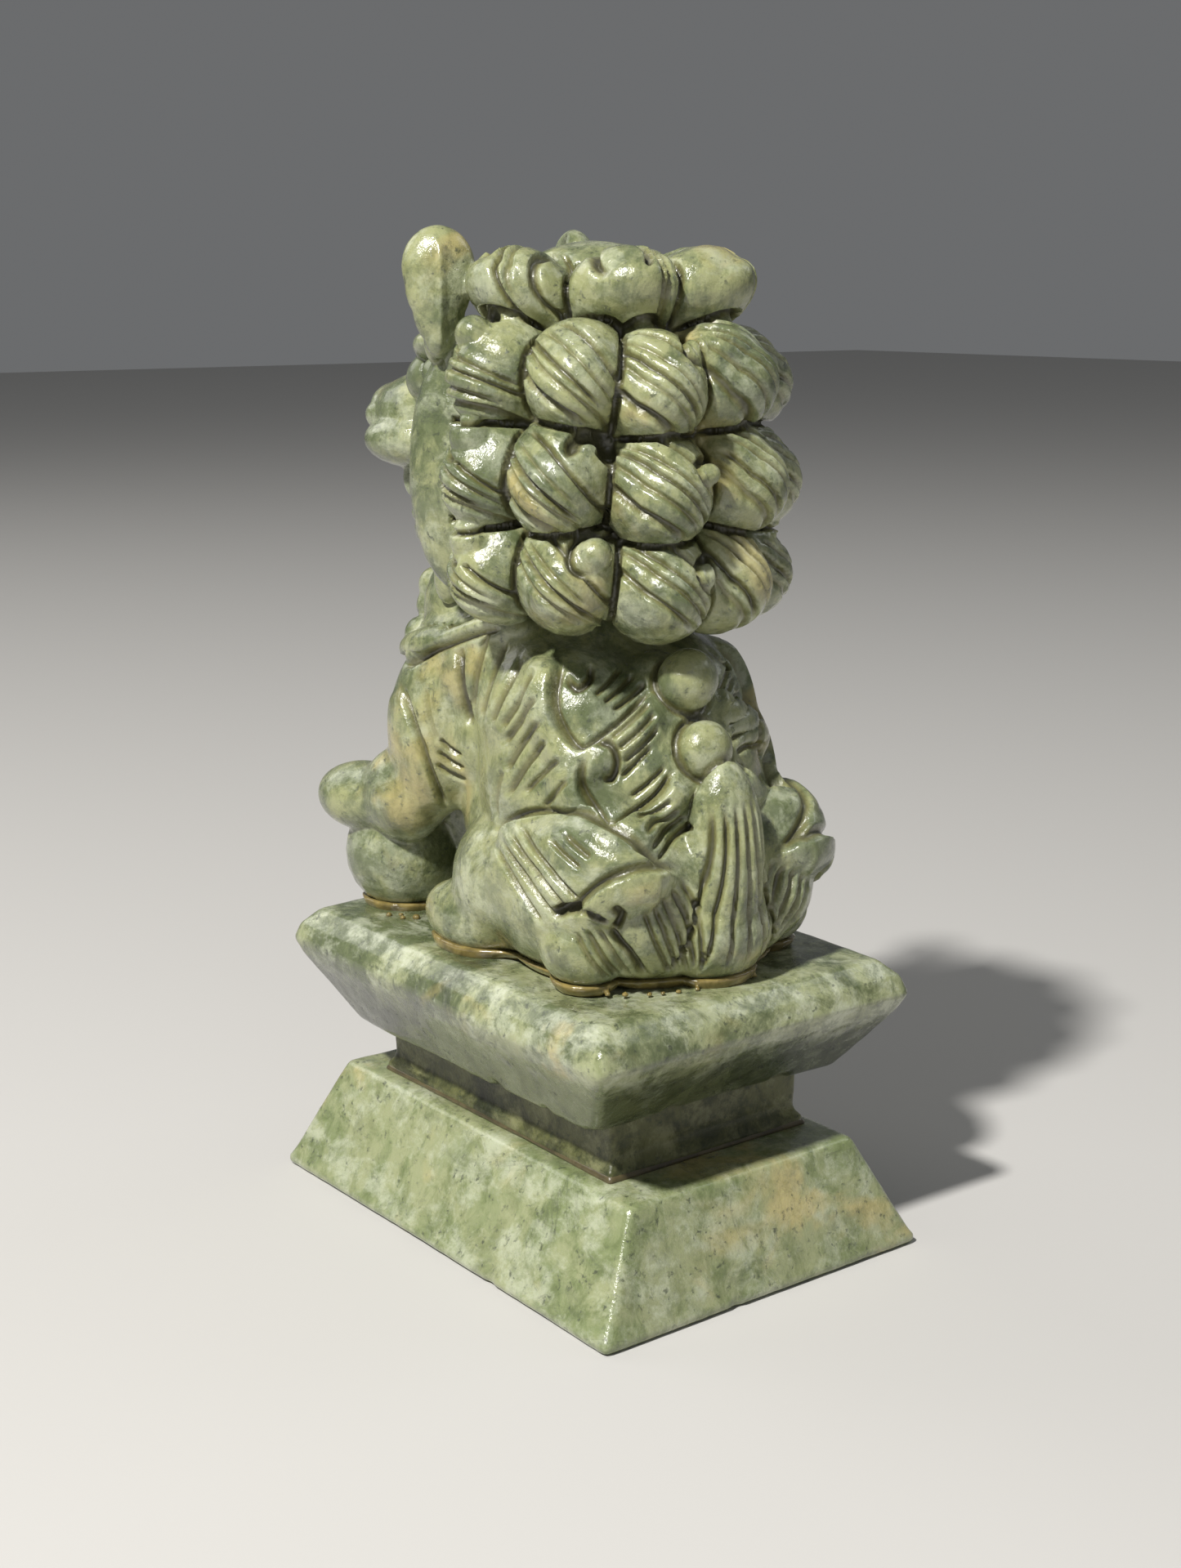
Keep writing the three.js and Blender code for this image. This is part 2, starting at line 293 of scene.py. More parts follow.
def skinned(bm, name, voxel, rounds):
    """One closed skin over everything in the bmesh, its corners eased by that many rounds."""
    mesh = bpy.data.meshes.new(name)
    bm.to_mesh(mesh)
    bm.free()
    holder = bpy.data.objects.new(name, mesh)
    bpy.context.scene.collection.objects.link(holder)
    cover = holder.modifiers.new("skin", "REMESH")
    cover.mode = "VOXEL"
    cover.voxel_size = voxel
    return eased(applied(holder), rounds)


def thinned(mesh, most=190000):
    """The same skin with no more triangles than that."""
    triangles = sum(len(p.vertices) - 2 for p in mesh.polygons)
    if triangles <= most:
        return mesh
    holder = bpy.data.objects.new("thin", mesh)
    bpy.context.scene.collection.objects.link(holder)
    thin = holder.modifiers.new("thin", "DECIMATE")
    thin.ratio = most / triangles
    return applied(holder)


def finished(name, mesh, material, node):
    """Puts a mesh made in millimetres on the object in place of its plain CAD solid."""
    mesh.transform(Matrix.Scale(MM, 4))
    piece = bpy.data.objects.new(name, mesh)
    bpy.context.scene.collection.objects.link(piece)
    mesh.materials.clear()
    mesh.materials.append(material)
    for polygon in mesh.polygons:
        polygon.use_smooth = True
    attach(piece, "root")
    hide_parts(*node)
    return piece


def block(levels, rounding):
    """A bmesh block through levels of height, half width and half length, its edges rounded over."""
    bm = bmesh.new()
    bmesh.ops.create_grid(bm, x_segments=1, y_segments=1, size=1)
    z, x, y = levels[0]
    spread = Matrix.Diagonal((x, y, 1, 1))
    bmesh.ops.transform(bm, matrix=Matrix.Translation((0, 0, z)) @ spread, verts=bm.verts)
    top = bm.faces[:]
    for next_z, next_x, next_y in levels[1:]:
        grown = bmesh.ops.extrude_face_region(bm, geom=top)["geom"]
        corners = [part for part in grown if isinstance(part, bmesh.types.BMVert)]
        top = [part for part in grown if isinstance(part, bmesh.types.BMFace)]
        widen = Matrix.Diagonal((next_x / x, next_y / y, 1, 1))
        bmesh.ops.transform(bm, matrix=Matrix.Translation((0, 0, next_z - z)) @ widen, verts=corners)
        z, x, y = next_z, next_x, next_y
    bmesh.ops.recalc_face_normals(bm, faces=bm.faces)
    bmesh.ops.bevel(bm, geom=bm.edges, offset=rounding, segments=5, profile=0.5, affect="EDGES",
                    clamp_overlap=True, material=-1)
    return bm


def hand_worked(mesh, unevenness, chips, pitting=0.05):
    """Leaves a polished block slightly wavy and pitted, with small chips knocked off its edges."""
    points, normals = points_of(mesh), normals_of(mesh)
    for i, (point, normal) in enumerate(zip(points.copy(), normals)):
        wave = noise.noise(Vector(point) * 0.055) * unevenness
        pit = noise.noise(Vector(point) * 0.45) * pitting
        points[i] += normal * (wave + pit)
    for place, reach, depth in chips:
        away = np.linalg.norm(points - np.array(place), axis=1)
        points -= normals * (depth * smooth_step(away, reach, 0.2 * reach))[:, None]
    put(mesh, points)
    return mesh


def smooth_step(value, low, high):
    """0 at low and 1 at high, with no corner at either; low may be the larger of the two."""
    t = np.clip((value - low) / (high - low), 0, 1)
    return t * t * (3 - 2 * t)


def half_sizes(node):
    """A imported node's half width and half length, its bottom and its top, in millimetres."""
    low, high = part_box(node)
    return (high.x - low.x) / 2 / MM, (high.y - low.y) / 2 / MM, low.z / MM, high.z / MM


half_x, half_y, bottom, top = half_sizes("lower_slab")
foot = block([
    (bottom, half_x - 0.2, half_y - 0.2),
    (bottom + 1.2, half_x, half_y),
    (bottom + 2.6, half_x - 1.0, half_y - 0.7),
    (top + 0.1, half_x - 8.7, half_y - 5.5),
], 0.9)
foot_chips = [
    ((half_x, half_y * 0.35, 1), 1.8, 0.3),
    ((half_x * 0.2, half_y, 1), 1.6, 0.3),
    ((half_x - 9, half_y - 12, top), 2.4, 0.4),
    ((-half_x * 0.5, -half_y, 1), 2.8, 0.5),
]
foot_mesh = hand_worked(skinned(foot, "lower_slab", 0.5, 3), 0.25, foot_chips)
flat = points_of(foot_mesh)
flat[:, 2] = np.maximum(flat[:, 2], bottom)
put(foot_mesh, flat)
finished("foot_stone", foot_mesh, pale_stone, ("lower_slab",))


# ---- Waist ----------------------------------------------------------------------------------------
# A shorter block of a darker piece of the same stone between the two slabs. Its foot spreads in a
# small cove, and it is stuck on both faces.
dark_stone = serpentine(
    "dark_stone", (0.11, 0.115, 0.045, 1), (0.26, 0.26, 0.14, 1), (0.04, 0.046, 0.02, 1),
    (0.18, 0.14, 0.045, 1), (0.012, 0.014, 0.008, 1), 0.5, 0.75, seed=(0.7, 0.4, 0.2), gloss=0.5,
)
half_x, half_y, bottom, top = half_sizes("waist_block")
waist = block([
    (bottom - 0.8, half_x + 0.1, half_y + 0.1),
    (bottom + 0.5, half_x - 0.1, half_y - 0.1),
    (bottom + 1.3, half_x - 0.7, half_y - 0.7),
    (bottom + 2.0, half_x - 0.95, half_y - 0.95),
    (top + 0.9, half_x - 0.9, half_y - 0.9),
], 0.22)
waist_mesh = hand_worked(skinned(waist, "waist", 0.4, 2), 0.25, [], 0.03)
finished("waist_stone", waist_mesh, dark_stone, ("waist_block",))


# ---- Upper slab -----------------------------------------------------------------------------------
# The slab that the lion sits on: the same pale stone cut the other way up, sloping in below a thick
# rim that is rounded right over, with a crisp and slightly chipped lower edge.
# Below the rim the stone is darkened with painted shade.
rim_stone = serpentine(
    "rim_stone", (0.32, 0.345, 0.19, 1), (0.52, 0.55, 0.42, 1), (0.12, 0.145, 0.07, 1),
    (0.47, 0.38, 0.16, 1), (0.035, 0.045, 0.028, 1), 0.6, 0.7, seed=(0.05, 0.62, 0.31),
    # painted shade on the underside below the rim, from 34 to 41 mm up
    painted_shade_below=(0.034, 0.041),
)
half_x, half_y, bottom, top = half_sizes("upper_slab")
slab_top = top
cap = block([
    (bottom - 0.1, half_x - 6.4, half_y - 9.7),
    (bottom + 9.6, half_x - 1.0, half_y - 1.6),
    (bottom + 12.2, half_x, half_y),
    (bottom + 14.9, half_x - 0.9, half_y - 0.9),
    (top, half_x - 3.4, half_y - 3.4),
], 0.8)
cap_chips = [
    ((half_x - 6.4, half_y * 0.2, bottom), 2.4, 0.5),
    ((half_x - 6.4, half_y * 0.5, bottom), 1.8, 0.4),
    ((half_x * 0.3, half_y - 9.7, bottom), 2.2, 0.5),
    ((-half_x * 0.4, half_y - 9.7, bottom), 2.6, 0.5),
    ((-half_x + 6.4, -half_y * 0.3, bottom), 2.4, 0.5),
    ((half_x - 6.8, half_y - 10, bottom), 1.6, 0.6),
]
cap_mesh = hand_worked(skinned(cap, "upper_slab", 0.45, 5), 0.6, cap_chips)
finished("cap_stone", cap_mesh, rim_stone, ("upper_slab",))


# ---- Lion's head ----------------------------------------------------------------------------------
# Cut from the one stone of the lion: a skull with a mane of rounded curls, four rows from behind the
# left ear round to the right one. Each curl swells to an overhanging foot and is combed with a wheel.
head_axis = Vector((0, 4, 0))
face_turn = 20


class Lump:
    """A heap of rounded masses that is then given one skin."""

    def __init__(self):
        self.bm = bmesh.new()

    def egg(self, half, centre, turn=0, lean=0, roll=0):
        spin = Matrix.Rotation(radians(turn), 4, "Z") @ Matrix.Rotation(radians(lean), 4, "X")
        spin = spin @ Matrix.Rotation(radians(roll), 4, "Y")
        place = Matrix.Translation(centre) @ spin @ Matrix.Diagonal((*half, 1))
        bmesh.ops.create_icosphere(self.bm, subdivisions=3, radius=1, matrix=place)

    def pair(self, half, centre, turn=0, lean=0, roll=0):
        x, y, z = centre
        self.egg(half, (x, y, z), turn, lean, roll)
        self.egg(half, (-x, y, z), -turn, lean, -roll)


def smooth_line(points, spacing):
    """Points about that far apart on a smooth curve through the given ones."""
    known = np.array(points, float)
    ends = np.vstack([2 * known[0] - known[1], known, 2 * known[-1] - known[-2]])
    line = []
    for i in range(1, len(ends) - 2):
        before, a, b, after = ends[i - 1:i + 3]
        count = max(2, int(np.linalg.norm(b - a) / spacing) + 1)
        for t in np.linspace(0, 1, count, endpoint=False):
            line.append(0.5 * (2 * a + (b - before) * t + (2 * before - 5 * a + 4 * b - after) * t * t
                               + (3 * a - before - 3 * b + after) * t ** 3))
    return np.array([*line, known[-1]])


def heading(azimuth):
    """Level directions outward at that azimuth and across it, to the right as seen from outside."""
    a = radians(azimuth)
    return Vector((sin(a), -cos(a), 0)), Vector((cos(a), sin(a), 0))


def groove(distance, width):
    """A round-bottomed cut, 1 on its line and 0 beyond half its width."""
    return np.clip(1 - (distance / (width / 2)) ** 2, 0, 1) ** 1.3


# A curl's combing: the direction its grooves run in degrees, their places across it in millimetres,
# and the small bead at its upper right corner as place across, place up and radius. A notch, given
# in the same way, is a curved cut with no bead in it.
diagonal = dict(comb=-43, cuts=(3.4, 0.9, -1.5, -3.8, -5.8))
level = dict(comb=-14, cuts=(-0.5, -2.6, -4.4, -6.2), bead=(-0.6, 3.4, 2.6))
sloped = dict(comb=-28, cuts=(-0.3, -2.2, -3.9, -5.6), bead=(0.6, 3.2, 3.0))
styles = [
    [level, diagonal, dict(diagonal, comb=-46, bead=(5.9, 4.0, 1.9)), dict(diagonal, comb=-56),
     diagonal, dict(diagonal, bead=(5.6, 3.0, 1.9)), diagonal],
    [sloped, dict(diagonal, cuts=(1.6, -0.7, -2.9, -4.8, -6.6), notch=(5.2, 3.0, 1.9)),
     dict(diagonal, bead=(6.0, 0.6, 1.5)), dict(diagonal, comb=-54), dict(diagonal, bead=(5.2, 1.5, 2.0)),
     diagonal, dict(diagonal, bead=(5.2, 1.5, 2.0))],
    [dict(sloped, comb=-33, bead=(0.2, 2.6, 3.2)),
     dict(diagonal, cuts=(1.9, -0.6, -2.7, -4.6), bead=(4.7, 2.0, 2.4)),
     dict(diagonal, cuts=(3.2, 0.6, -1.9, -4.2), bead=(5.8, 0.2, 1.7)), dict(diagonal, comb=-58),
     dict(diagonal, bead=(4.9, 2.0, 2.2)), diagonal, diagonal],
    [dict(comb=-55, cuts=(6.0, 4.2, 2.4), notch=(-2.2, 1.6, 1.5)),
     dict(comb=-84, cuts=(6.6, 4.9, 3.2), notch=(-1.6, 1.2, 3.6)),
     dict(comb=-80, cuts=(5.2, 3.0, 0.8)), dict(comb=-70, cuts=(4, 1.6, -1)),
     dict(comb=-50, cuts=(4, 1.6, -1))],
]
curl_rows = [
    dict(z=127.0, radius=17.8, half=(7.7, 7.9, 8.1), lean=-22),
    dict(z=113.9, radius=19.0, half=(7.9, 7.9, 8.6), lean=-19),
    dict(z=101.2, radius=18.0, half=(7.9, 7.9, 8.5), lean=-14),
]
curls = []
for row, curl in enumerate(curl_rows):
    for i in range(7):
        drop = (0, 0.1, 1.5, 0.4, 1.2, 0.2, 0)[i] + row * (0, 0.2, 0.2, 0.5, 0.2, 0.4, 0)[i]
        swing = (3.0 * sin(1.9 * i + 2.4 * row) - row) * (i not in (0, 6))
        placed = dict(curl, azimuth=92 + 36 * i + swing, z=curl["z"] - drop)
        curls.append(dict(placed, **styles[row][i]))
for i, (azimuth, radius) in enumerate(((87, 13.2), (155, 11.4), (206, 13.2), (256, 11.6), (304, 12.4))):
    placed = dict(z=137.8, radius=radius, half=(8.2, 8.2, 5.8), lean=-34, azimuth=azimuth)
    curls.append(dict(placed, **styles[3][i]))

head = Lump()
head.egg((20, 20, 26), (0, 4, 117))
for curl in curls:
    azimuth, lean, half = curl["azimuth"], curl["lean"], curl["half"]
    out = heading(azimuth)[0]
    centre = head_axis + out * curl["radius"] + Vector((0, 0, curl["z"]))
    spin = Matrix.Rotation(radians(azimuth), 3, "Z") @ Matrix.Rotation(radians(lean), 3, "X")
    curl.update(centre=centre, spin=spin)
    head.egg(half, centre, azimuth, lean)
    belly = centre + spin @ Vector((0.5, -1.5, -1.7))
    head.egg((half[0] * 0.82, half[1] * 0.94, half[2] * 0.78), belly, azimuth, lean)
    if "bead" in curl:
        u, v, radius = curl["bead"]
        swell = half[1] * sqrt(max(0.15, 1 - (u / half[0]) ** 2 - (v / half[2]) ** 2))
        head.egg((radius, radius, radius), centre + spin @ Vector((u, 0.45 * radius - swell - 0.6, v)))
head.egg((2, 2, 2), (-17.8, 18.7, 105.1))  # stone in the pocket between four curls, right rear


def on_face(side, forward, z):
    out, across = heading(face_turn)
    return head_axis + out * forward + across * side + Vector((0, 0, z))


def face_egg(half, side, forward, z, turn=0, lean=0, roll=0):
    head.egg(half, on_face(side, forward, z), face_turn + turn, lean, roll)


def face_pair(half, side, forward, z, turn=0, lean=0, roll=0):
    face_egg(half, side, forward, z, turn, lean, roll)
    face_egg(half, -side, forward, z, -turn, lean, -roll)


# The face: a sloping bridge to a broad snout, heavy brows over lidded eyes, an open mouth between
# rolled lips, and a chin with a short beard. The ears are teardrops with a ridge down their backs.
head.egg((10, 12, 6.5), on_face(0, 2, 138.6), face_turn)
face_egg((15, 10, 19), 0, 15.5, 116)
face_egg((6.6, 11.5, 6.6), 0, 24.0, 123.6, lean=20)
face_egg((9.2, 11.6, 6.6), 0, 28.2, 120.4)
face_egg((9.6, 11.6, 5.0), 0, 28.4, 118.4)
face_egg((5.6, 3.6, 3.6), 0, 36.4, 121.4)
face_egg((13.5, 8.0, 5.4), 0, 16.5, 129.8)
face_egg((10.2, 10.2, 5.6), 0, 21.4, 104.0)
face_egg((7.6, 2.6, 2.4), 0, 28.4, 106.2)
face_egg((4.4, 8.0, 2.0), 0, 26, 107.8, lean=6)
face_pair((5.0, 7.2, 17), 13.8, 16.4, 113.5)
face_pair((2.7, 2.6, 2.3), 4.0, 36.6, 120.2)
face_pair((6.0, 8.8, 4.2), 5.2, 29.4, 116.8)
face_pair((4.1, 3.8, 3.9), 8.4, 24.0, 125.8)
face_pair((6.2, 3.4, 2.3), 8.8, 22.8, 130.2, turn=24, roll=-14)
face_pair((2.8, 2.6, 2.4), 12.6, 19.6, 127.0)
face_pair((3.8, 5.2, 7.2), 9.6, 21.8, 110.5, roll=6)
for side in (-7.2, -3.6, 0, 3.6, 7.2):
    face_egg((2.3, 3.0, 5.4), side, 24.6 - abs(side) * 0.4, 98.4, lean=-12)
    face_egg((1.35, 1.5, 1.7), side * 0.72, 33.6 - abs(side) * 0.5, 113)
for side in (-5.4, 5.4):
    face_egg((1.3, 1.5, 3.0), side, 30.2, 111.4)
ear_aside, ear_out = 47, 23.7  # degrees either side of the face, and millimetres out from the axis
ear_faces_back = 130  # degrees from the face to where the back of each ear looks
for side in (1, -1):
    ear_place = head_axis + heading(face_turn + side * ear_aside)[0] * ear_out
    ear_back = face_turn + side * ear_faces_back
    head.egg((5.1, 3.3, 5.6), ear_place + Vector((0, 0, 141.5)), ear_back, -4)
    head.egg((4.7, 3.3, 6.0), ear_place + Vector((0, 0, 139.2)), ear_back, -4)
    head.egg((3.7, 3.0, 5.6), ear_place + Vector((0, 0, 136.2)), ear_back, -4)
    head.egg((2.4, 2.6, 4.6), ear_place + Vector((0, 0, 133.6)), ear_back, -4)
    flap = head_axis + heading(face_turn + side * 41)[0] * 24.0
    head.egg((1.6, 2.2, 3.2), flap + Vector((0, 0, 131.5)), ear_back)
    root = head_axis + heading(face_turn + side * ear_aside)[0] * 17
    head.egg((3.6, 6.0, 6.0), root + Vector((0, 0, 128.5)), face_turn + side * ear_aside)
head_mesh = skinned(head.bm, "head", 0.3, 3)


def combed(mesh):
    """Cuts each curl's grooves, bead crescents and the deep creases between curls; returns the depth."""
    points, normals = points_of(mesh), normals_of(mesh)
    nearest = np.full(len(points), 9.0)
    second = np.full(len(points), 9.0)
    owner = np.full(len(points), -1)
    charts = []
    for index, curl in enumerate(curls):
        local = (points - np.array(curl["centre"])) @ np.array(curl["spin"])
        reach = np.linalg.norm(local / np.array(curl["half"]), axis=1)
        charts.append(local)
        second = np.where(reach < nearest, nearest, np.minimum(second, reach))
        owner = np.where(reach < nearest, index, owner)
        nearest = np.minimum(nearest, reach)
    depth = np.zeros(len(points))
    for index, curl in enumerate(curls):
        mine = (owner == index) & (nearest < 1.35)
        u, v = charts[index][mine, 0], charts[index][mine, 2]
        direction = radians(curl["comb"])
        along = u * cos(direction) + v * sin(direction)
        over = v * cos(direction) - u * sin(direction)
        cut = np.zeros(mine.sum())
        for k, place in enumerate(curl["cuts"]):
            bend = place * (1 - (along / 12.5) ** 2) + 0.35 * sin(2.1 * k + index)
            start, end = -6.2 + 0.9 * sin(1.7 * index + k), 6.8 + 1.2 * sin(index + 2.3 * k)
            span = smooth_step(along, start - 1.6, start + 0.6)
            span = span * (1 - smooth_step(along, end - 0.6, end + 1.8))
            cut = np.maximum(cut, groove(over - bend, 1.1) * span * (1 + 0.3 * sin(3.1 * k + index)))
        if "bead" in curl:
            bead_u, bead_v, radius = curl["bead"]
            away = np.hypot(u - bead_u, v - bead_v)
            angle = np.degrees(np.arctan2(v - bead_v, u - bead_u)) % 360
            span = smooth_step(angle, 40, 80) * (1 - smooth_step(angle, 245, 285))
            cut = np.where(away < radius + 0.9, 0, cut)
            cut = np.maximum(cut, groove(away - radius - 0.7, 1.5) * span * 1.5)
        if "notch" in curl:
            notch_u, notch_v, reach = curl["notch"]
            away = np.hypot(u - notch_u, v - notch_v)
            angle = np.degrees(np.arctan2(v - notch_v, u - notch_u)) % 360
            span = 1 - smooth_step(angle, 190, 240) * (1 - smooth_step(angle, 310, 340))
            cut = np.where(away < reach + 0.7, 0, cut)
            cut = np.maximum(cut, groove(away - reach, 1.6 if reach > 2 else 2.6) * span * 1.7)
        depth[mine] = cut * 0.85
    # The creases' depth also darkens them in the stone's colour, as painted shade.
    crease = (1 - smooth_step(second - nearest, 0.0, 0.1)) * (nearest < 1.3)
    depth = np.maximum(depth, crease * 1.25)
    put(mesh, points - normals * depth[:, None])
    return depth


def ears_hollowed(mesh):
    """Dishes the front of each ear and leaves a ridge down its back."""
    points = points_of(mesh)
    for side in (1, -1):
        middle = np.array(head_axis + heading(face_turn + side * ear_aside)[0] * ear_out)
        out, across = (np.array(v) for v in heading(face_turn + side * ear_faces_back))
        u, w, z = (points - middle) @ across, (points - middle) @ out, points[:, 2]
        taper = np.clip((z - 127) / 12, 0.25, 1)
        near = (np.abs(u) < 6) & (np.abs(w) < 5) & (z > 128)
        dish = smooth_step(1 - (u / (3.6 * taper)) ** 2 - ((z - 139) / 8) ** 2, 0, 0.7) * near * (w < 0)
        points += out[None, :] * (dish * 2.6)[:, None]
        length = smooth_step(z, 129, 132) * (1 - smooth_step(z, 143, 146.5))
        ridge = np.exp(-(u / 0.75) ** 2) * length * near * (w > 0)
        points += out[None, :] * (ridge * 0.75)[:, None]
    put(mesh, points)


def store(mesh, depth):
    """Keeps how deep each point of the stone lies in a cut or a hollow, for the darker colour there: the
    wax left in the cuts, and painted shade in the deepest hollows and creases.
    """
    points, normals = points_of(mesh), normals_of(mesh)
    around = points
    for _ in range(6):
        around = averaged(mesh, around)
    # Painted shade: points lying below their smoothed neighbours count as hollow, like ambient occlusion.
    inward = ((around - points) * normals).sum(axis=1)
    hollow = np.maximum(depth, np.clip(inward * 3.6 - 0.14, 0, 1))
    layer = mesh.attributes.new("hollow", "FLOAT", "POINT")
    layer.data.foreach_set("value", np.clip(averaged(mesh, hollow), 0, 1).astype(np.float32))


lion_stone = serpentine(
    "lion_stone", (0.3, 0.315, 0.155, 1), (0.46, 0.49, 0.36, 1), (0.13, 0.155, 0.075, 1),
    (0.4, 0.34, 0.14, 1), (0.06, 0.075, 0.045, 1), 0.5, 0.6, cut=True,
)
ears_hollowed(head_mesh)
store(head_mesh, combed(head_mesh))
finished("lion_head", thinned(head_mesh), lion_stone, ("lion_figure",))


# ---- Lion's body ----------------------------------------------------------------------------------
# The same stone below the mane: deep chest with a ribbon collar, left paw on a ball, haunches and a
# bushy tail, the coat cut as fans, comma-shaped locks and combs of short grooves.
sole = half_sizes("lion_figure")[2]
body = Lump()
# neck, throat, chest, shoulders, back and belly
body.egg((17, 19, 11), (0, -5, 86))
body.pair((9, 12, 8.5), (9.5, -10, 83), lean=8)
body.egg((12.5, 14, 12), (2, -16.5, 86))
body.egg((11, 11.5, 10), (4, -17.5, 92))
body.pair((8.5, 11, 7), (9, -17, 85))
body.egg((9, 13, 11), (-2, -15, 60))
body.egg((18, 19.5, 15), (0, -14, 74))
body.egg((21, 21, 19), (0, 8, 69.5), lean=-18)
body.pair((11.5, 15, 12.5), (8.5, 5.5, 78.5))
body.egg((8, 9, 11), (0, 16, 78))
body.egg((17.6, 17, 13), (0, -2.5, 62))
body.egg((8, 11, 10), (-3.5, -17, 54))
body.egg((6, 6.5, 9.5), (4.5, -23.5, 58))
body.egg((21, 20, 14), (0, 14, 57))
# forelegs: the left one bent over the ball, the right one down to the slab
body.pair((7.0, 9, 14.5), (14.2, -18.5, 74), lean=-8)
body.egg((6.4, 8, 7.6), (16.4, -24.5, 63))
body.egg((6.3, 9, 5.6), (18.2, -33, 61.3), turn=15)
body.egg((6.5, 7, 15), (-15, -26, 60))
body.egg((6.5, 8, 5.6), (-15, -32, 49))
# thighs, the bushy foot of the tail and the hind paws
body.pair((10, 19, 12.5), (14, 13, 56.5), lean=3)
body.pair((10, 12, 11), (13.6, 2.5, 55))
body.pair((11, 13, 9), (13, 20, 60))
body.egg((21.5, 11.5, 9.5), (0, 22.5, 52.5))
body.pair((5.6, 10, 5.4), (18, -4.5, 48.6))
rough_mesh = skinned(body.bm, "rough", 0.7, 14)
body = Lump()
body.bm.from_mesh(rough_mesh)
bpy.data.meshes.remove(rough_mesh)
skin = BVHTree.FromBMesh(body.bm)


def on_skin(place, sunk):
    """The nearest point of the rough body, that far below its skin."""
    near, normal = skin.find_nearest(Vector(place))[:2]
    return near - normal * sunk


# the ball, the curls either side of the tail, its upright tuft, and the two beads above it
body.egg((9.7, 9.7, 9.7), (12.5, -30.5, 52.4))
body.pair((8.6, 8, 8.2), (11.5, 25, 54.5), turn=-20)
body.pair((6.8, 7.2, 6.4), (16.2, 20.5, 50.2), turn=-30)
body.egg((6.3, 4.8, 15.5), (-0.3, 30.6, 60.2))
body.egg((9.5, 6, 8), (-0.3, 29.2, 51.5))
beads = [((0, 22.7, 85.6), (4.7, 4.3, 4.7)), ((0, 26.4, 76.2), (4.5, 3.8, 4.5))]
for place, half in beads:
    body.egg(half, place)
# the collar's band with three bells on the left and one on the right, and three tassels on the chest
for point in smooth_line([(14, 2, 93), (17.2, -7, 90.6), (16.6, -17, 87.6), (11.5, -27, 85), (0, -31, 83.4),
                          (-11.5, -27, 85), (-16.6, -17, 87.6), (-17.2, -7, 90.6), (-14, 2, 93)], 0.9):
    body.egg((2.3, 2.3, 2.3), on_skin(point, 1.2))
for place in ((12.5, -27, 87.5), (10.4, -29, 91), (9.4, -28, 94.5), (-9, -29, 91)):
    body.egg((2.7, 2.7, 2.9), on_skin(place, 0.4))
for side in (-6.8, 0, 6.8):
    body.egg((3.0, 2.8, 3.2), on_skin((side, -32, 80), 0.6))
body_mesh = skinned(body.bm, "body", 0.34, 3)
level_sole = points_of(body_mesh)
level_sole[:, 2] = np.maximum(level_sole[:, 2], sole)
put(body_mesh, level_sole)


